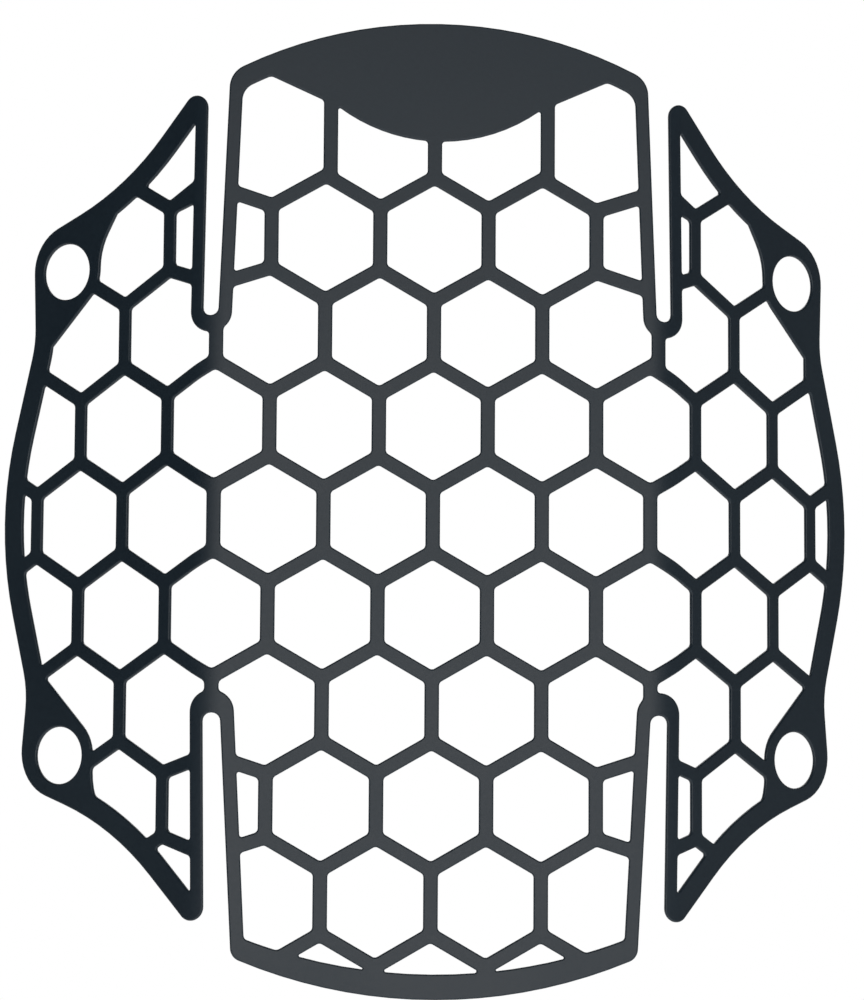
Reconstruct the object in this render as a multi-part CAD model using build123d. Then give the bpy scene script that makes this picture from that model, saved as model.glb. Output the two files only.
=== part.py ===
from build123d import *
from math import copysign, cos, radians, sqrt, tan
import os

# A guard cut flat from one thin steel sheet, with both wings bent back over a large radius.
# Millimetres. Everything is first drawn flat: u runs right from the centre line, v runs up
# from mid height. On the finished part u is X, v is Z and the front face looks along -Y.

# Sheet
sheet = 1.0
overall_height = 215.0

# Honeycomb: regular cells with a corner upwards, one of them centred on honeycomb_centre
pitch = 24.0
strut = 3.2
honeycomb_centre = (-1.0, 17.4)
cell_corner = 1.1
smallest_opening = 20.0
rows = range(-6, 4)
columns = range(-5, 6)

# Solid edges
rim = 5.2
top_rim = 4.6
bottom_rim = 5.5
edge_strip = 3.0

# Panel: the flat middle with its two flaps
top_radius = 96.5
bottom_radius = 112.0
bottom_rim_radius = 117.0
mouth_corner = 3.0
flap_corner = 5.5
flap_opening_corner = 4.0

# Slots between flaps and wings: edges at the closed end, edges at the mouth, and how far the
# mouths lie inside the overall height
upper_slot_end = 41.4
upper_slot_edges = (48.5, 51.9)
upper_mouth_inset = 12.5
upper_mouth_edges = (46.5, 51.2)
upper_slot_pad = 0.7
lower_slot_end = -45.8
lower_slot_edges = (47.1, 50.9)
lower_mouth_inset = 9.7
lower_mouth_edges = (44.2, 50.0)
lower_slot_pad = 2.0
slot_end_rounding = 0.48
slot_overrun = 40.0

# Struts of the honeycomb at the slots: flatter where they run into one, upright below the upper two
slot_strut_angle = 18.0
upper_stem = 48.9

# Wings: the bend, the ears with their holes, and the corners of the outer edge
bend_start = 46.5
bend_radius = 13.5
bend_angle = 35.0
bend_cutter_overrun = 1.0
arc_step = 0.6
ear_u = 89.5
upper_ear = 54.0
lower_ear = -55.1
ear_hole = 12.7
ear_radius = 9.2
upper_tip_angle = 46.9
lower_tip_angle = 44.9
upper_shoulder = (72.9, 72.2)
lower_shoulder = (74.3, -70.9)
shoulder_radius = 65.0
upper_waist = (98.2, 38.3)
lower_waist = (98.9, -40.6)
waist_radius = 24.0
side = (109.0, -2.6)
side_radius = 81.0
upper_ear_corner = (9.6, 7.4)
lower_ear_corner = (11.4, -6.3)
ear_corner_radius = 10.5

# Solid corners round the ear holes: a slant towards the waist, a flare towards the tip
ear_plate_slant = 45.0
ear_plate_flare = 59.0
ear_plate_reach = 17.0
ear_flare_radius = 15.0
upper_flare_start = 4.5
lower_flare_start = 8.0

# Top plate: solid above a sagging edge, with straight flanks to its two shoulders. Upright bars
# divide the row of cells below it.
plate_sag = 80.9
plate_arc_end = (22.3, 88.2)
plate_shoulder = (37.4, 94.9)
top_bars = (-49.0, -24.1, honeycomb_centre[0], 24.1, 49.0)

upper_mouth = overall_height / 2 - upper_mouth_inset
lower_mouth = lower_mouth_inset - overall_height / 2
upper_slot = (upper_slot_end, upper_slot_edges, upper_mouth, upper_mouth_edges)
lower_slot = (lower_slot_end, lower_slot_edges, lower_mouth, lower_mouth_edges)
cell_tall = pitch / sqrt(3)
row_height = 1.5 * cell_tall
neutral_radius = bend_radius + sheet / 2
bend_length = neutral_radius * radians(bend_angle)
mirror_plane = Plane.YZ


def both_sides(shape):
    return shape + mirror(shape, about=mirror_plane)


def middle(pair):
    return sum(pair) / 2


def polygon(*points):
    return make_face(Polyline(*points, close=True))


def closed_face(*lines):
    return make_face([edge for line in lines for edge in line.edges()])


def slot_edges(slot_line, v):
    """The two edges of a slot at height v, on straight lines from its closed end to its mouth."""
    end, edges, mouth, mouth_edges = slot_line
    along = (v - end) / (mouth - end)
    return [a + along * (b - a) for a, b in zip(edges, mouth_edges)]


def slot(slot_line, pad):
    """A slot that widens to its open mouth and runs past it; pad lengthens the closed end."""
    end, edges, mouth, mouth_edges = slot_line
    outward = copysign(1, mouth)
    far = mouth + outward * slot_overrun
    inner, outer = slot_edges(slot_line, far)
    end = end - outward * pad
    face = polygon((edges[0], end), (edges[1], end), (outer, far), (inner, far))
    closed = face.vertices().sort_by(Axis.Y, reverse=outward < 0)[:2]
    return fillet(closed, slot_end_rounding * (edges[1] - edges[0]))


def slots():
    return both_sides(slot(upper_slot, 0) + slot(lower_slot, 0))


def slot_strips():
    """The slots together with the solid strip that borders them."""
    upper = offset(slot(upper_slot, upper_slot_pad), edge_strip, kind=Kind.ARC)
    lower = offset(slot(lower_slot, lower_slot_pad), edge_strip, kind=Kind.ARC)
    return both_sides(upper + lower)


def in_slot_strip(u, v):
    line = upper_slot if v > 0 else lower_slot
    inner, outer = slot_edges(line, v)
    past_end = abs(v) > abs(line[0]) - edge_strip
    return past_end and inner - edge_strip < abs(u) < outer + edge_strip


def arch(crown, radius, half_width):
    """An arc with its crown on the centre line; a negative crown hangs down."""
    drop = copysign(radius - sqrt(radius**2 - half_width**2), crown)
    return ThreePointArc((-half_width, crown - drop), (0, crown), (half_width, crown - drop))


def panel(upper_inset, lower_inset, upper_radius, lower_radius):
    """The middle panel with its arched ends; its long sides run hidden inside the slots."""
    top = arch(overall_height / 2 - upper_inset, upper_radius, middle(upper_mouth_edges))
    bottom = arch(lower_inset - overall_height / 2, lower_radius, middle(lower_mouth_edges))
    upper_turn = (middle(upper_slot_edges), upper_slot_end)
    lower_turn = (middle(lower_slot_edges), lower_slot_end)
    flank = Polyline(top @ 1, upper_turn, lower_turn, bottom @ 1)
    return closed_face(top, flank, bottom, mirror(flank, about=mirror_plane))


def wings():
    """Both wings as one face, closed across the panel halfway up the slots."""
    top_u = middle(upper_mouth_edges)
    bottom_u = middle(lower_mouth_edges)
    top_v = upper_shoulder[1] + (upper_shoulder[0] - top_u) * tan(radians(upper_tip_angle))
    bottom_v = lower_shoulder[1] - (lower_shoulder[0] - bottom_u) * tan(radians(lower_tip_angle))
    bends = [
        (upper_shoulder, shoulder_radius),
        ((ear_u + upper_ear_corner[0], upper_ear + upper_ear_corner[1]), ear_corner_radius),
        (upper_waist, waist_radius),
        (side, side_radius),
        (lower_waist, waist_radius),
        ((ear_u + lower_ear_corner[0], lower_ear + lower_ear_corner[1]), ear_corner_radius),
        (lower_shoulder, shoulder_radius),
    ]
    corners = [(top_u, top_v), *[corner for corner, r in bends], (bottom_u, bottom_v)]
    edge = FilletPolyline(*corners, radius=[r for corner, r in bends])
    top_close = middle((upper_slot_end, upper_mouth))
    bottom_close = middle((lower_slot_end, lower_mouth))
    lower_inside = Polyline((bottom_u, bottom_v), (bottom_u, bottom_close), (0, bottom_close))
    upper_inside = Polyline((0, top_close), (top_u, top_close), (top_u, top_v))
    seam = Line((0, bottom_close), (0, top_close))
    return both_sides(closed_face(edge, lower_inside, seam, upper_inside))


def on_upper_flap(corner):
    return corner.Y > upper_ear and abs(corner.X) < middle(upper_mouth_edges)


def outline():
    """The outer edge of the sheet, with the slots open and the corners of their mouths rounded."""
    shape = wings() + panel(0, 0, top_radius, bottom_radius) - slots()
    past_ears = upper_ear + 2 * ear_radius
    mouths = shape.vertices().filter_by(lambda v: abs(v.X) < upper_slot_edges[1] and abs(v.Y) > past_ears)
    shape = fillet([corner for corner in mouths if not on_upper_flap(corner)], mouth_corner)
    return fillet(shape.vertices().filter_by(on_upper_flap), flap_corner)


def top_plate():
    """The solid plate of the upper flap, drawn past the top edge."""
    sag = ThreePointArc((-plate_arc_end[0], plate_arc_end[1]), (0, plate_sag), plate_arc_end)
    flank = Polyline(plate_arc_end, plate_shoulder, (plate_shoulder[0], overall_height), (0, overall_height))
    return closed_face(sag, flank, mirror(flank, about=mirror_plane))


def ear_plate(ear_v, flare_start):
    """The solid corner round an ear hole, drawn past the outer edge."""
    to_tip = copysign(1, ear_v)
    inner = ear_u - ear_radius
    flare_v = ear_v + to_tip * flare_start
    turn_v = ear_v - to_tip * ear_radius * tan(radians(ear_plate_slant / 2))
    start = (inner - ear_radius, flare_v + to_tip * ear_radius * tan(radians(ear_plate_flare)))
    end_v = turn_v - to_tip * ear_plate_reach * tan(radians(90 - ear_plate_slant))
    corners = [start, (inner, flare_v), (inner, turn_v), (inner + ear_plate_reach, end_v)]
    inside = FilletPolyline(*corners, radius=[ear_flare_radius, ear_radius])
    outside = Polyline(corners[-1], (2 * ear_u, end_v), (2 * ear_u, start[1]), start)
    return closed_face(inside, outside)


def window():
    """Where the sheet may be open: inside the rim and clear of slots, ears and top plate."""
    middle_part = panel(top_rim, bottom_rim, top_radius - top_rim, bottom_rim_radius)
    inside = offset(wings(), -rim, kind=Kind.INTERSECTION) + middle_part
    ears = ear_plate(upper_ear, upper_flare_start) + ear_plate(lower_ear, lower_flare_start)
    free = inside - slot_strips()
    free = fillet(free.vertices().filter_by(on_upper_flap), flap_opening_corner)
    return free - both_sides(ears) - top_plate()


def slide(apex, corner, u):
    """The point at u on the line from a cell's top or bottom corner through a side corner."""
    along = (u - apex[0]) / (corner[0] - apex[0])
    return (u, apex[1] + along * (corner[1] - apex[1]))


def rounded(face, inset, corner):
    """A face taken in all round by inset, with its corners rounded."""
    return offset(offset(face, -inset - corner, kind=Kind.INTERSECTION), corner, kind=Kind.ARC)


def cell_nodes(u, v):
    """The six nodes round a cell, clockwise from the top one."""
    half = pitch / 2
    low = cell_tall / 2
    around = [(0, cell_tall), (half, low), (half, -low), (0, -cell_tall), (-half, -low), (-half, low)]
    return [(u + du, v + dv) for du, dv in around]


def flatten_struts(nodes):
    """Move each node that a slot swallows, so that the slanted struts run into the slot flatter."""
    shift = pitch / 2 * (tan(radians(30)) - tan(radians(slot_strut_angle)))
    moved = list(nodes)
    for i, (u, v) in enumerate(nodes):
        if in_slot_strip(u, v):
            moved[i] = (u, v + (shift if i % 2 else -shift))
    return moved


def shift_stems(nodes):
    """Set the upright strut that hangs from the closed end of an upper slot at upper_stem."""
    top, bottom = nodes[0], nodes[3]
    moved = list(nodes)
    for high, low in ((1, 2), (5, 4)):
        if in_slot_strip(*nodes[high]) and not in_slot_strip(*nodes[low]):
            stem = copysign(upper_stem, nodes[high][0])
            moved[high] = slide(top, nodes[high], stem)
            moved[low] = slide(bottom, nodes[low], stem)
    return moved


def cell(u, v, meets_plate):
    """One cell of the honeycomb, half a strut inside its nodes."""
    nodes = cell_nodes(u, v)
    if not meets_plate:
        nodes = shift_stems(flatten_struts(nodes))
    return rounded(polygon(*nodes), strut / 2, cell_corner)


def cells():
    """The honeycomb, of whose top row only the wings have regular cells."""
    u0, v0 = honeycomb_centre
    faces = []
    for row in rows:
        is_top = row == rows[-1]
        for column in columns:
            u = u0 + (column + row % 2 / 2) * pitch
            if not is_top or abs(u) > upper_slot_edges[0]:
                faces.append(cell(u, v0 + row * row_height, is_top))
    return faces


def top_cells():
    """The row under the top plate: pointed below like the honeycomb, divided by upright bars."""
    apex_v = honeycomb_centre[1] + rows[-1] * row_height - (pitch - strut) / sqrt(3)
    slopes = [tan(radians(30)) for bar in top_bars]
    slopes[0] = slopes[-1] = tan(radians(slot_strut_angle))
    faces = []
    for place in range(len(top_bars) - 1):
        apex = honeycomb_centre[0] + (place + 1 - len(top_bars) / 2) * pitch
        left = top_bars[place] + strut / 2
        right = top_bars[place + 1] - strut / 2
        left_v = apex_v + (apex - left) * slopes[place]
        right_v = apex_v + (right - apex) * slopes[place + 1]
        floor = [(left, left_v), (apex, apex_v), (right, right_v)]
        column = polygon(*floor, (right, overall_height), (left, overall_height))
        faces.append(rounded(column, 0, cell_corner))
    return faces


def openings():
    free = window()
    clipped = [face for one in cells() + top_cells() for face in (free & one).faces()]
    return [face for face in clipped if face.area > smallest_opening]


def ear_holes():
    return [Pos(u, v) * Circle(ear_hole / 2) for u in (-ear_u, ear_u) for v in (upper_ear, lower_ear)]


def between(face, start, end):
    """The part of a flat face with u from start to end."""
    return face & Pos(middle((start, end)), 0) * Rectangle(end - start, 2 * overall_height)


def corner_points(face):
    """The outer edge as a closed row of points, with arcs in short steps."""
    points = []
    for edge in face.outer_wire().order_edges():
        steps = 1 if edge.geom_type == GeomType.LINE else max(2, round(edge.length / arc_step))
        points += [edge @ (i / steps) for i in range(steps)]
    return points


def bend_cutter(gap):
    """A gap of the bend's flat strip as a solid, all of whose walls point at the bend axis."""
    half = bend_angle / 2
    outside = bend_radius + sheet + bend_cutter_overrun
    inside = bend_radius * cos(radians(half)) - bend_cutter_overrun
    turns = [((p.X - bend_start) / neutral_radius - radians(half), p.Y) for p in corner_points(gap)]
    sections = []
    for distance in (outside, inside):
        section = polygon(*[(distance * tan(turn), v) for turn, v in turns])
        sections.append(Rot(0, half, 0) * Pos(0, 0, distance) * section)
    return loft(sections, ruled=True)


def side_sheet(flat):
    """The right bend and wing of a flat pattern, standing on the bend axis as origin."""
    height = 2 * overall_height
    outer = bend_radius + sheet
    section = Plane.YZ * Pos(0, neutral_radius) * Rectangle(height, sheet)
    strip = Pos(bend_start + bend_length / 2, 0) * Rectangle(bend_length, height)
    bent = revolve(section, Axis.Y, bend_angle) - [bend_cutter(gap) for gap in (strip - flat).faces()]
    wing = extrude(between(flat, bend_start + bend_length, 2 * ear_u), sheet, dir=(0, 0, -1))
    wing = Rot(0, bend_angle, 0) * Pos(-bend_start - bend_length, 0, outer) * wing
    return Pos(bend_start, 0, -outer) * (bent + wing)


def guard():
    flat = outline() - openings() - ear_holes()
    centre = extrude(between(flat, -bend_start, bend_start), sheet, dir=(0, 0, -1))
    right = side_sheet(flat)
    left = mirror(side_sheet(mirror(flat, about=mirror_plane)), about=mirror_plane)
    upright = Rot(90, 0, 0) * (left + centre + right)
    return Pos(0, -upright.bounding_box().center().Y, 0) * upright


os.makedirs("parts", exist_ok=True)
part = guard()
part.label = "guard"
export_step(part, "parts/guard.step")
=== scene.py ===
from math import atan2, copysign, cos, radians, sin, tan

import bmesh
import bpy
from mathutils import Matrix, Vector
from mathutils.geometry import interpolate_bezier


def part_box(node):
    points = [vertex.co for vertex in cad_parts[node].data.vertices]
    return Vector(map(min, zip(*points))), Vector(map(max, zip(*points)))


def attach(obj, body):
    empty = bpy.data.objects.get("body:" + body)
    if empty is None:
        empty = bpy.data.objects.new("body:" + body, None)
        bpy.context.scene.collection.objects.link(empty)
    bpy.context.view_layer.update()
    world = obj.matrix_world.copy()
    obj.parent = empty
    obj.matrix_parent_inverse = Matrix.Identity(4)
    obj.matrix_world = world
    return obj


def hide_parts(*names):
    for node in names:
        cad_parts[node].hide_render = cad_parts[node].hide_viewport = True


bl_info = {
    "name": "Headlight Guard Finish",
    "version": (1, 0, 0),
    "blender": (4, 5, 0),
    "location": "View3D > Sidebar > Guard",
    "description": "Rounds and powder-coats a folded honeycomb headlight guard, and sets its studio",
    "category": "Object",
}

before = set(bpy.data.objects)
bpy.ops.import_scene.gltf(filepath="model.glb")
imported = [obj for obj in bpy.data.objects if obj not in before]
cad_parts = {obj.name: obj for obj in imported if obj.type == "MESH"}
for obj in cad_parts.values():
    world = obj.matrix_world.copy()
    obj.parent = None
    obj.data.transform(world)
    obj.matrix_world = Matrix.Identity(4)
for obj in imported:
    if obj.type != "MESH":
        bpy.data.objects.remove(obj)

CAD_NODE = "guard"
BODY = "root"
SHEET_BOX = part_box(CAD_NODE)
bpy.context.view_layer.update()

# Facts of the folded sheet, in metres, as the CAD source has them
SHEET = 0.001
BEND_START = 0.0465
BEND_RADIUS = 0.0135
BEND_ANGLE = radians(35)
NEUTRAL_RADIUS = BEND_RADIUS + SHEET / 2
OUTER_RADIUS = BEND_RADIUS + SHEET
BEND_AXIS_Y = SHEET_BOX[0].y + OUTER_RADIUS

# Limits of the mesh work, in metres where they are lengths
MERGE_DISTANCE = 1e-6
SHORTEST_WALL = 0.0001
FRONT_FACING = 0.9
FLAT_LIMIT = radians(0.5)
SHARP = radians(40)
CORNER_STEPS = 5
LARGEST_CORNER_SHARE = 0.45

# Pattern of the cured powder
MILLIMETRE = 0.001
CLOUD_WIDTH = 40 * MILLIMETRE
CLOUD_DETAIL = 3.0
CLOUD_RANGE = (0.35, 0.70)
RIPPLE_DETAIL = 2.0
RIPPLE_RANGE = (0.30, 0.75)
RIPPLE_SHARE = 0.45
COAT_IOR = 1.5

# Where the background turns white for glossy rays, how white the floor looks, and where each
# soft light stands, with its width
BACKGROUND_RANGE = (0.1, 0.5)
FLOOR_GLOW = 1.06
FLOOR_GLOW_SHARE = 0.9
WHITE = (1.0, 1.0, 1.0, 1.0)
FRONT_LIGHT = (0.05, -1.6, -0.25), 1.4
SIDE_LIGHT = (1.3, -0.5, 0.1), 0.8
BACK_LIGHT = (0.2, 1.5, 0.8), 1.2


class CoatSettings(bpy.types.PropertyGroup):
    """Sizes and colours of the powder coat."""

    corner_reach: bpy.props.FloatProperty(
        name="Corner Reach",
        description="How far from the corners of the openings their rounding starts",
        default=0.0007,
        min=0.0002,
        max=0.003,
        precision=5,
        subtype="DISTANCE",
        unit="LENGTH",
    )
    edge_radius: bpy.props.FloatProperty(
        name="Edge Radius",
        description="How far the coat rounds the cut edges of the sheet",
        default=0.00038,
        min=0.00005,
        max=0.00045,
        precision=5,
        subtype="DISTANCE",
        unit="LENGTH",
    )
    edge_steps: bpy.props.IntProperty(
        name="Edge Steps",
        description="Faces across each rounded edge",
        default=3,
        min=1,
        max=6,
    )
    bend_steps: bpy.props.IntProperty(
        name="Bend Steps",
        description="Strips across each bend",
        default=12,
        min=2,
        max=36,
    )
    colour: bpy.props.FloatVectorProperty(
        name="Coat Colour",
        description="The main colour of the powder coat",
        default=(0.008, 0.020, 0.033),
        min=0.0,
        max=1.0,
        subtype="COLOR",
    )
    thin_colour: bpy.props.FloatVectorProperty(
        name="Thin Coat Colour",
        description="The slightly lighter colour where the coat lies thinner",
        default=(0.013, 0.028, 0.042),
        min=0.0,
        max=1.0,
        subtype="COLOR",
    )
    roughness: bpy.props.FloatProperty(
        name="Roughness",
        description="Mean roughness of the satin surface",
        default=0.46,
        min=0.0,
        max=1.0,
        subtype="FACTOR",
    )
    roughness_spread: bpy.props.FloatProperty(
        name="Roughness Spread",
        description="How much the roughness varies over the surface",
        default=0.08,
        min=0.0,
        max=0.5,
        subtype="FACTOR",
    )
    peel_size: bpy.props.FloatProperty(
        name="Orange Peel Size",
        description="Width of one ripple of the cured powder",
        default=0.0011,
        min=0.0001,
        max=0.01,
        precision=5,
        subtype="DISTANCE",
        unit="LENGTH",
    )
    peel_height: bpy.props.FloatProperty(
        name="Orange Peel Height",
        description="Height of the ripples",
        default=0.000012,
        min=0.0,
        max=0.0002,
        precision=6,
        subtype="DISTANCE",
        unit="LENGTH",
    )


class StudioSettings(bpy.types.PropertyGroup):
    """Floor, lights and camera."""

    floor_drop: bpy.props.FloatProperty(
        name="Floor Drop",
        description="How far below the guard the floor lies; the guard hangs by its ears",
        default=0.28,
        min=0.0,
        max=2.0,
        subtype="DISTANCE",
        unit="LENGTH",
    )
    floor_size: bpy.props.FloatProperty(
        name="Floor Size",
        description="Half the width of the floor",
        default=1.2,
        min=0.2,
        max=20.0,
        subtype="DISTANCE",
        unit="LENGTH",
    )
    floor_colour: bpy.props.FloatVectorProperty(
        name="Floor Colour",
        description="Colour of the plain floor",
        default=(0.8, 0.8, 0.8),
        min=0.0,
        max=1.0,
        subtype="COLOR",
    )
    room_light: bpy.props.FloatProperty(
        name="Room Light",
        description="Strength of the even light from all round",
        default=0.04,
        min=0.0,
        max=2.0,
    )
    front_power: bpy.props.FloatProperty(
        name="Front Light",
        description="Power of the large soft light beside the camera",
        default=15.5,
        min=0.0,
        max=500.0,
        unit="POWER",
    )
    side_power: bpy.props.FloatProperty(
        name="Side Light",
        description="Power of the soft light on the right",
        default=0.5,
        min=0.0,
        max=500.0,
        unit="POWER",
    )
    back_power: bpy.props.FloatProperty(
        name="Back Light",
        description="Power of the soft light above and behind, which leaves the front alone",
        default=10.0,
        min=0.0,
        max=500.0,
        unit="POWER",
    )
    camera_place: bpy.props.FloatVectorProperty(
        name="Camera Place",
        description="Where the camera stands",
        default=(-0.04383, -0.68750, -0.06076),
        subtype="TRANSLATION",
        unit="LENGTH",
    )
    camera_turn: bpy.props.FloatVectorProperty(
        name="Camera Turn",
        description="How the camera is turned",
        default=(radians(95.252), radians(-0.346), radians(-3.664)),
        subtype="EULER",
        unit="ROTATION",
    )
    lens: bpy.props.FloatProperty(
        name="Lens",
        description="Focal length on a 36 mm sensor",
        default=110.88,
        min=10.0,
        max=500.0,
        unit="CAMERA",
    )


def turn_at(point):
    """How far the folded sheet has turned at a point: 0 in the flat middle, the bend angle on a wing."""
    turn = atan2(abs(point.x) - BEND_START, BEND_AXIS_Y - point.y)
    return min(max(turn, 0.0), BEND_ANGLE)


def front_skin(node):
    """The front face of the CAD sheet as one open surface."""
    bm = bmesh.new()
    bm.from_mesh(node.data)
    bmesh.ops.remove_doubles(bm, verts=bm.verts, dist=MERGE_DISTANCE)
    others = []
    for face in bm.faces:
        centre = face.calc_center_median()
        turn = turn_at(centre)
        front = Vector((copysign(sin(turn), centre.x), -cos(turn), 0))
        if face.normal.dot(front) < FRONT_FACING:
            others.append(face)
    bmesh.ops.delete(bm, geom=others, context="FACES")
    return bm


def lay_flat(bm):
    """Unroll the front skin into the plane it was cut from, where x is the way along the sheet."""
    for vert in bm.verts:
        point = vert.co
        turn = turn_at(point)
        past_bend = (abs(point.x) - BEND_START) * cos(turn) + (point.y - BEND_AXIS_Y) * sin(turn)
        vert.co = (copysign(BEND_START + NEUTRAL_RADIUS * turn + past_bend, point.x), 0, point.z)
    bmesh.ops.dissolve_limit(bm, angle_limit=FLAT_LIMIT, verts=bm.verts, edges=bm.edges)


def borders(bm):
    """The borders of the flat skin, each a closed row of points."""
    ahead = {}
    for edge in bm.edges:
        if edge.is_boundary:
            loop = edge.link_loops[0]
            ahead[loop.vert] = loop.link_loop_next.vert
    rings = []
    while ahead:
        start, vert = ahead.popitem()
        ring = [start.co.copy()]
        while vert is not start:
            ring.append(vert.co.copy())
            vert = ahead.pop(vert)
        rings.append(ring)
    return rings


def spaced(ring, step):
    """A closed row of points without those that lie closer to the last kept one than a step."""
    kept = ring[:1]
    for point in ring[1:]:
        if (point - kept[-1]).length > step and (point - ring[0]).length > step:
            kept.append(point)
    return kept


def shortened(row, length):
    """A row of points without a first stretch of the given length."""
    for index, (here, there) in enumerate(zip(row, row[1:])):
        step = (there - here).length
        if step > length:
            return [here.lerp(there, length / step), *row[index + 1:]]
        length -= step


def corner_arc(before, corner, after):
    """The points of an arc that rounds a corner, without its two ends."""
    turn = (corner - before).angle(after - corner)
    pull = 4 / 3 * tan(turn / 4) / tan(turn / 2)
    handles = before.lerp(corner, pull), after.lerp(corner, pull)
    return interpolate_bezier(before, *handles, after, CORNER_STEPS + 1)[1:-1]


def ease_corners(ring, reach):
    """A closed row of points with its sharp corners rounded, as far as the walls beside them allow."""
    ring = spaced(ring, SHORTEST_WALL)
    ways = [there - here for here, there in zip(ring[-1:] + ring, ring)]
    turns = [last.angle(way) for last, way in zip(ways, ways[1:] + ways[:1])]
    sharp = [i for i, turn in enumerate(turns) if turn > SHARP]
    if not sharp:
        return ring
    closed = ring[sharp[0]:] + ring[:sharp[0] + 1]
    stops = [i - sharp[0] for i in sharp] + [len(ring)]
    spans = []
    for start, end in zip(stops, stops[1:]):
        span = closed[start:end + 1]
        length = sum((there - here).length for here, there in zip(span, span[1:]))
        cut = min(reach, LARGEST_CORNER_SHARE * length)
        span = shortened(span, cut)[::-1]
        spans.append(shortened(span, cut)[::-1])
    eased = []
    for start, last, span in zip(stops, spans[-1:] + spans[:-1], spans):
        eased += corner_arc(last[-1], closed[start], span[0]) + span
    return spaced(eased, SHORTEST_WALL / 2)


def fill_flat(rings):
    """The flat skin within its outer border and round its openings."""
    bm = bmesh.new()
    for ring in rings:
        verts = [bm.verts.new(point) for point in ring]
        for here, there in zip(verts, verts[1:] + verts[:1]):
            bm.edges.new((here, there))
    bmesh.ops.triangle_fill(bm, edges=bm.edges, use_beauty=True, normal=(0, -1, 0))
    return bm


def thicken(bm):
    """Give the flat skin its back and its walls."""
    made = bmesh.ops.extrude_face_region(bm, geom=bm.faces[:], use_keep_orig=True)
    back = [item for item in made["geom"] if isinstance(item, bmesh.types.BMVert)]
    bmesh.ops.translate(bm, verts=back, vec=(0, SHEET, 0))
    bmesh.ops.recalc_face_normals(bm, faces=bm.faces)


def round_edges(bm, radius, steps):
    """Round the cut edges, as the coat does."""
    sharp = [edge for edge in bm.edges if edge.is_manifold and edge.calc_face_angle() > SHARP]
    bmesh.ops.bevel(
        bm,
        geom=sharp,
        offset=radius,
        offset_type="OFFSET",
        affect="EDGES",
        segments=steps,
        profile=0.5,
        material=-1,
        clamp_overlap=False,
    )


def refill(bm):
    """Fill the front and the back afresh, each within the rounded edges that now border it."""
    for depth, facing in ((0, -1), (SHEET, 1)):
        old = []
        for face in bm.faces:
            if all(abs(vert.co.y - depth) < MERGE_DISTANCE for vert in face.verts):
                old.append(face)
        bmesh.ops.delete(bm, geom=old, context="FACES")
        border = [edge for edge in bm.edges if edge.is_boundary]
        bmesh.ops.triangle_fill(bm, edges=border, use_beauty=True, normal=(0, facing, 0))
    bmesh.ops.recalc_face_normals(bm, faces=bm.faces)


def cut_bend_strips(bm, steps):
    """Cut both bends into upright strips, narrow enough to follow the curve."""
    bmesh.ops.triangulate(bm, faces=bm.faces)
    for side in (-1, 1):
        for step in range(steps + 1):
            along = BEND_START + NEUTRAL_RADIUS * BEND_ANGLE * step / steps
            bmesh.ops.bisect_plane(
                bm,
                geom=bm.verts[:] + bm.edges[:] + bm.faces[:],
                dist=MERGE_DISTANCE,
                plane_co=(side * along, 0, 0),
                plane_no=(1, 0, 0),
            )


def flat_normal(vert):
    """The shading normal of the flat sheet: straight on its front and back, soft over rounded edges."""
    if vert.co.y < MERGE_DISTANCE:
        return Vector((0, -1, 0))
    if vert.co.y > SHEET - MERGE_DISTANCE:
        return Vector((0, 1, 0))
    return sum((face.normal * face.calc_area() for face in vert.link_faces), Vector()).normalized()


def fold(bm):
    """Bend both wings back, and return the shading normal of every vertex on the true curve."""
    normals = [flat_normal(vert) for vert in bm.verts]
    for vert, normal in zip(bm.verts, normals):
        x, depth, z = vert.co
        side = copysign(1, x)
        turn = min(max((abs(x) - BEND_START) / NEUTRAL_RADIUS, 0.0), BEND_ANGLE)
        past_bend = abs(x) - BEND_START - NEUTRAL_RADIUS * turn
        reach = OUTER_RADIUS - depth
        across = BEND_START + reach * sin(turn) + past_bend * cos(turn)
        vert.co = (side * across, BEND_AXIS_Y - reach * cos(turn) + past_bend * sin(turn), z)
        normal.rotate(Matrix.Rotation(side * turn, 3, "Z"))
    return normals


def new_group(name, inputs, outputs):
    """An empty shader node group with named sockets, and its two end nodes."""
    tree = bpy.data.node_groups.new(name, "ShaderNodeTree")
    for socket, kind, value in inputs:
        made = tree.interface.new_socket(name=socket, in_out="INPUT", socket_type=kind)
        made.default_value = value
    for socket, kind in outputs:
        tree.interface.new_socket(name=socket, in_out="OUTPUT", socket_type=kind)
    return tree, tree.nodes.new("NodeGroupInput"), tree.nodes.new("NodeGroupOutput")


def place(tree, kind, at, **values):
    """Add a node at a spot of the node editor and set its plain attributes."""
    node = tree.nodes.new(kind)
    node.location = at
    for name, value in values.items():
        setattr(node, name, value)
    return node


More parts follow.
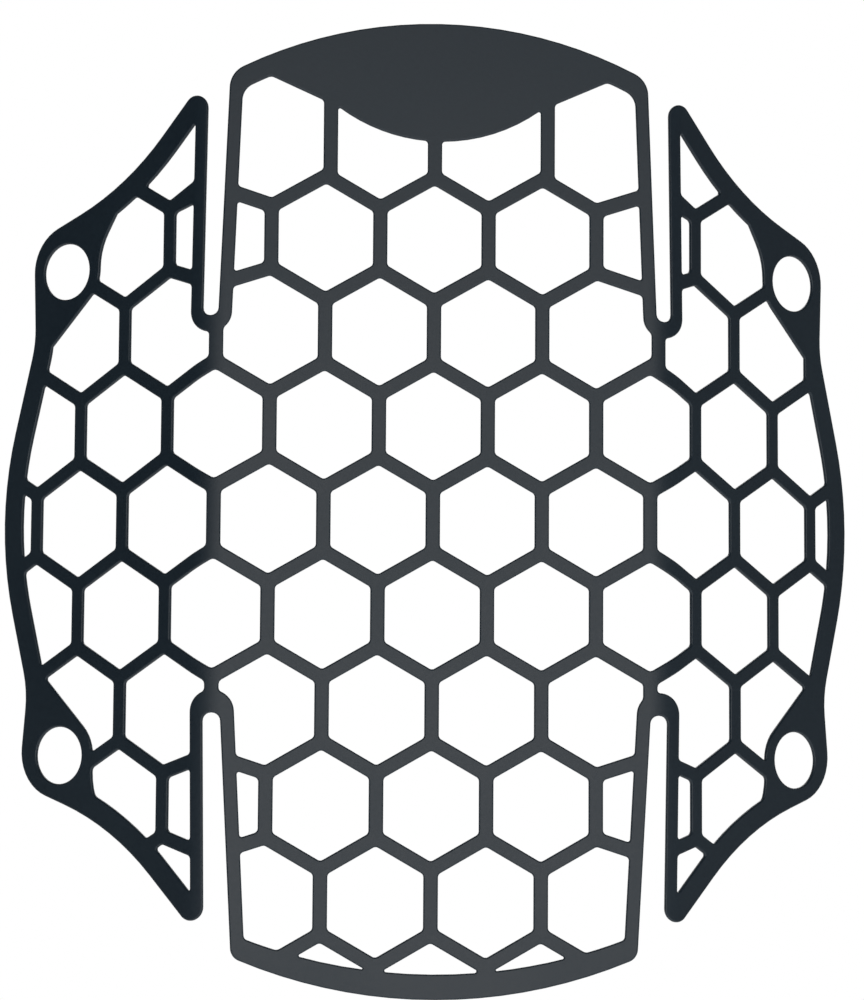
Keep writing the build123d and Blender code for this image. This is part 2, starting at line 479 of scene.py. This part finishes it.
def powder_group():
    """Cured powder: ripples of orange peel, fine grain, and soft clouds of thinner coat."""
    inputs = [
        ("Colour", "NodeSocketColor", (0.0, 0.0, 0.0, 1.0)),
        ("Thin Colour", "NodeSocketColor", (0.0, 0.0, 0.0, 1.0)),
        ("Ripple Width", "NodeSocketFloat", MILLIMETRE),
        ("Cloud Width", "NodeSocketFloat", CLOUD_WIDTH),
        ("Roughness", "NodeSocketFloat", 0.5),
        ("Spread", "NodeSocketFloat", 0.1),
    ]
    outputs = [
        ("Colour", "NodeSocketColor"),
        ("Roughness", "NodeSocketFloat"),
        ("Height", "NodeSocketFloat"),
    ]
    tree, start, end = new_group("Cured Powder", inputs, outputs)
    start.location = (-900, 0)
    end.location = (700, 0)
    links = tree.links
    place_on = place(tree, "ShaderNodeTexCoord", (-900, 300))

    def scaled_noise(width_socket, at, detail):
        per_metre = place(tree, "ShaderNodeMath", (at[0] - 200, at[1]), operation="DIVIDE")
        per_metre.inputs[0].default_value = 1.0
        links.new(start.outputs[width_socket], per_metre.inputs[1])
        noise = place(tree, "ShaderNodeTexNoise", at)
        noise.inputs["Detail"].default_value = detail
        links.new(place_on.outputs["Object"], noise.inputs["Vector"])
        links.new(per_metre.outputs[0], noise.inputs["Scale"])
        return noise

    def stretched(noise, at, value_range):
        mask = place(tree, "ShaderNodeMapRange", at)
        mask.inputs["From Min"].default_value = value_range[0]
        mask.inputs["From Max"].default_value = value_range[1]
        links.new(noise.outputs["Fac"], mask.inputs["Value"])
        return mask

    clouds = scaled_noise("Cloud Width", (-400, 300), CLOUD_DETAIL)
    ripples = scaled_noise("Ripple Width", (-400, 0), RIPPLE_DETAIL)
    cloud_mask = stretched(clouds, (-150, 300), CLOUD_RANGE)
    grain = stretched(ripples, (-150, 0), RIPPLE_RANGE)

    both = place(tree, "ShaderNodeMix", (100, 200), data_type="FLOAT")
    both.inputs["Factor"].default_value = RIPPLE_SHARE
    links.new(cloud_mask.outputs["Result"], both.inputs["A"])
    links.new(grain.outputs["Result"], both.inputs["B"])

    tone = place(tree, "ShaderNodeMix", (350, 200), data_type="RGBA")
    links.new(both.outputs["Result"], tone.inputs["Factor"])
    links.new(start.outputs["Colour"], tone.inputs["A"])
    links.new(start.outputs["Thin Colour"], tone.inputs["B"])
    links.new(tone.outputs["Result"], end.inputs["Colour"])

    centred = place(tree, "ShaderNodeMath", (100, -100), operation="SUBTRACT")
    centred.inputs[1].default_value = 0.5
    links.new(both.outputs["Result"], centred.inputs[0])
    roughness = place(tree, "ShaderNodeMath", (350, -100), operation="MULTIPLY_ADD")
    links.new(centred.outputs[0], roughness.inputs[0])
    links.new(start.outputs["Spread"], roughness.inputs[1])
    links.new(start.outputs["Roughness"], roughness.inputs[2])
    links.new(roughness.outputs[0], end.inputs["Roughness"])

    links.new(ripples.outputs["Fac"], end.inputs["Height"])
    return tree


def powder_material(coat):
    """Satin black powder coat on steel."""
    material = bpy.data.materials.new("Black Powder Coat")
    material.use_nodes = True
    material.diffuse_color = (*coat.colour, 1.0)
    tree = material.node_tree
    shader = tree.nodes["Principled BSDF"]
    powder = place(tree, "ShaderNodeGroup", (-500, 200), node_tree=powder_group())
    powder.inputs["Colour"].default_value = (*coat.colour, 1.0)
    powder.inputs["Thin Colour"].default_value = (*coat.thin_colour, 1.0)
    powder.inputs["Ripple Width"].default_value = coat.peel_size
    powder.inputs["Cloud Width"].default_value = CLOUD_WIDTH
    powder.inputs["Roughness"].default_value = coat.roughness
    powder.inputs["Spread"].default_value = coat.roughness_spread
    bump = place(tree, "ShaderNodeBump", (-250, -100))
    bump.inputs["Strength"].default_value = 1.0
    bump.inputs["Distance"].default_value = coat.peel_height
    tree.links.new(powder.outputs["Colour"], shader.inputs["Base Color"])
    tree.links.new(powder.outputs["Roughness"], shader.inputs["Roughness"])
    tree.links.new(powder.outputs["Height"], bump.inputs["Height"])
    tree.links.new(bump.outputs["Normal"], shader.inputs["Normal"])
    shader.inputs["IOR"].default_value = COAT_IOR
    return material


class GUARD_OT_coat_sheet(bpy.types.Operator):
    """Replace the plain CAD sheet by a copy with rounded edges and a powder coat"""

    bl_idname = "guard.coat_sheet"
    bl_label = "Coat the Sheet"
    bl_options = {"REGISTER", "UNDO"}

    def execute(self, context):
        coat = context.scene.guard_coat
        skin = front_skin(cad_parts[CAD_NODE])
        lay_flat(skin)
        rings = [ease_corners(ring, coat.corner_reach) for ring in borders(skin)]
        skin.free()
        bm = fill_flat(rings)
        thicken(bm)
        round_edges(bm, coat.edge_radius, coat.edge_steps)
        refill(bm)
        cut_bend_strips(bm, coat.bend_steps)
        normals = fold(bm)
        for face in bm.faces:
            face.smooth = True
        mesh = bpy.data.meshes.new("coated_sheet")
        bm.to_mesh(mesh)
        bm.free()
        mesh.normals_split_custom_set_from_vertices(normals)
        mesh.materials.append(powder_material(coat))
        sheet = bpy.data.objects.new("coated_sheet", mesh)
        context.scene.collection.objects.link(sheet)
        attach(sheet, BODY)
        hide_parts(CAD_NODE)
        return {"FINISHED"}


def share_of_rays(tree, kinds, share):
    """A factor of the given share for rays of the given kinds, and 0 for all others."""
    rays = place(tree, "ShaderNodeLightPath", (-900, 300))
    chosen = rays.outputs[kinds[0]]
    for step, kind in enumerate(kinds[1:]):
        either = place(tree, "ShaderNodeMath", (-700 + 170 * step, 300), operation="MAXIMUM")
        tree.links.new(chosen, either.inputs[0])
        tree.links.new(rays.outputs[kind], either.inputs[1])
        chosen = either.outputs[0]
    factor = place(tree, "ShaderNodeMath", (-300, 300), operation="MULTIPLY")
    factor.inputs[1].default_value = share
    tree.links.new(chosen, factor.inputs[0])
    return factor.outputs[0]


def floor_material(colour):
    """Plain pale floor that looks white and still takes the shadow of the guard."""
    material = bpy.data.materials.new("Pale Floor")
    material.use_nodes = True
    tree = material.node_tree
    shader = tree.nodes["Principled BSDF"]
    shader.inputs["Base Color"].default_value = (*colour, 1.0)
    shader.inputs["Roughness"].default_value = 0.9
    shader.inputs["Specular IOR Level"].default_value = 0.0
    glow = place(tree, "ShaderNodeEmission", (0, -300))
    glow.inputs["Strength"].default_value = FLOOR_GLOW
    mix = place(tree, "ShaderNodeMixShader", (300, 100))
    seen = ("Is Camera Ray", "Is Glossy Ray", "Is Transmission Ray")
    tree.links.new(share_of_rays(tree, seen, FLOOR_GLOW_SHARE), mix.inputs["Fac"])
    tree.links.new(shader.outputs["BSDF"], mix.inputs[1])
    tree.links.new(glow.outputs["Emission"], mix.inputs[2])
    tree.links.new(mix.outputs["Shader"], tree.nodes["Material Output"].inputs["Surface"])
    return material


def add_floor(scene, studio):
    """The floor below the hanging guard."""
    bm = bmesh.new()
    bmesh.ops.create_grid(bm, x_segments=1, y_segments=1, size=studio.floor_size)
    bmesh.ops.translate(bm, verts=bm.verts, vec=(0, 0, SHEET_BOX[0].z - studio.floor_drop))
    mesh = bpy.data.meshes.new("floor")
    bm.to_mesh(mesh)
    bm.free()
    mesh.materials.append(floor_material(studio.floor_colour))
    floor = bpy.data.objects.new("floor", mesh)
    scene.collection.objects.link(floor)


def add_softbox(scene, name, centre, size, power):
    """A large square light that faces the guard and isn't seen itself."""
    light = bpy.data.lights.new(name, "AREA")
    light.shape = "SQUARE"
    light.size = size
    light.energy = power
    lamp = bpy.data.objects.new(name, light)
    lamp.location = centre
    lamp.rotation_euler = (-Vector(centre)).to_track_quat("-Z", "Y").to_euler()
    lamp.visible_camera = False
    scene.collection.objects.link(lamp)


def share_behind(tree):
    """A factor that grows from 0 to 1 for the directions that lead behind the guard."""
    coordinates = place(tree, "ShaderNodeTexCoord", (-900, -100))
    parts = place(tree, "ShaderNodeSeparateXYZ", (-700, -100))
    mask = place(tree, "ShaderNodeMapRange", (-500, -100))
    mask.inputs["From Min"].default_value = BACKGROUND_RANGE[0]
    mask.inputs["From Max"].default_value = BACKGROUND_RANGE[1]
    tree.links.new(coordinates.outputs["Generated"], parts.inputs["Vector"])
    tree.links.new(parts.outputs["Y"], mask.inputs["Value"])
    return mask.outputs["Result"]


def set_room(scene, strength):
    """Even soft light from all round, and a white background, which glossy rays see behind the guard."""
    world = bpy.data.worlds.new("Studio")
    world.use_nodes = True
    tree = world.node_tree
    room = tree.nodes["Background"]
    room.inputs["Color"].default_value = WHITE
    room.inputs["Strength"].default_value = strength
    white = place(tree, "ShaderNodeBackground", (0, -200))
    white.inputs["Color"].default_value = WHITE
    mix = place(tree, "ShaderNodeMixShader", (250, 0))
    mirrored = place(tree, "ShaderNodeMath", (-100, 100), operation="MULTIPLY")
    tree.links.new(share_of_rays(tree, ("Is Glossy Ray",), 1.0), mirrored.inputs[0])
    tree.links.new(share_behind(tree), mirrored.inputs[1])
    either = place(tree, "ShaderNodeMath", (70, 300), operation="MAXIMUM")
    seen = ("Is Camera Ray", "Is Transmission Ray")
    tree.links.new(share_of_rays(tree, seen, 1.0), either.inputs[0])
    tree.links.new(mirrored.outputs[0], either.inputs[1])
    tree.links.new(either.outputs[0], mix.inputs["Fac"])
    tree.links.new(room.outputs["Background"], mix.inputs[1])
    tree.links.new(white.outputs["Background"], mix.inputs[2])
    tree.links.new(mix.outputs["Shader"], tree.nodes["World Output"].inputs["Surface"])
    scene.world = world


def add_camera(scene, studio):
    """The camera of the photo."""
    data = bpy.data.cameras.new("camera")
    data.lens = studio.lens
    data.sensor_width = 36.0
    data.clip_start = 0.01
    data.clip_end = 100.0
    camera = bpy.data.objects.new("camera", data)
    camera.location = studio.camera_place
    camera.rotation_euler = studio.camera_turn
    scene.collection.objects.link(camera)
    scene.camera = camera


class GUARD_OT_set_studio(bpy.types.Operator):
    """Set the pale floor, the soft lights, the white room and the camera"""

    bl_idname = "guard.set_studio"
    bl_label = "Set the Studio"
    bl_options = {"REGISTER", "UNDO"}

    def execute(self, context):
        scene = context.scene
        studio = scene.guard_studio
        add_floor(scene, studio)
        add_softbox(scene, "front_light", *FRONT_LIGHT, studio.front_power)
        add_softbox(scene, "side_light", *SIDE_LIGHT, studio.side_power)
        add_softbox(scene, "back_light", *BACK_LIGHT, studio.back_power)
        set_room(scene, studio.room_light)
        add_camera(scene, studio)
        scene.view_settings.view_transform = "Standard"
        return {"FINISHED"}


class GUARD_PT_sidebar(bpy.types.Panel):
    """The guard's settings and steps"""

    bl_idname = "GUARD_PT_sidebar"
    bl_label = "Headlight Guard"
    bl_space_type = "VIEW_3D"
    bl_region_type = "UI"
    bl_category = "Guard"

    def draw(self, context):
        for settings, step in (
            (context.scene.guard_coat, GUARD_OT_coat_sheet),
            (context.scene.guard_studio, GUARD_OT_set_studio),
        ):
            box = self.layout.box()
            for name in settings.__annotations__:
                box.prop(settings, name)
            box.operator(step.bl_idname)


CLASSES = (CoatSettings, StudioSettings, GUARD_OT_coat_sheet, GUARD_OT_set_studio, GUARD_PT_sidebar)


def register():
    for one in CLASSES:
        bpy.utils.register_class(one)
    bpy.types.Scene.guard_coat = bpy.props.PointerProperty(type=CoatSettings)
    bpy.types.Scene.guard_studio = bpy.props.PointerProperty(type=StudioSettings)


def unregister():
    del bpy.types.Scene.guard_studio
    del bpy.types.Scene.guard_coat
    for one in reversed(CLASSES):
        bpy.utils.unregister_class(one)


def main():
    register()
    bpy.ops.guard.coat_sheet()
    bpy.ops.guard.set_studio()


if __name__ == "__main__":
    main()
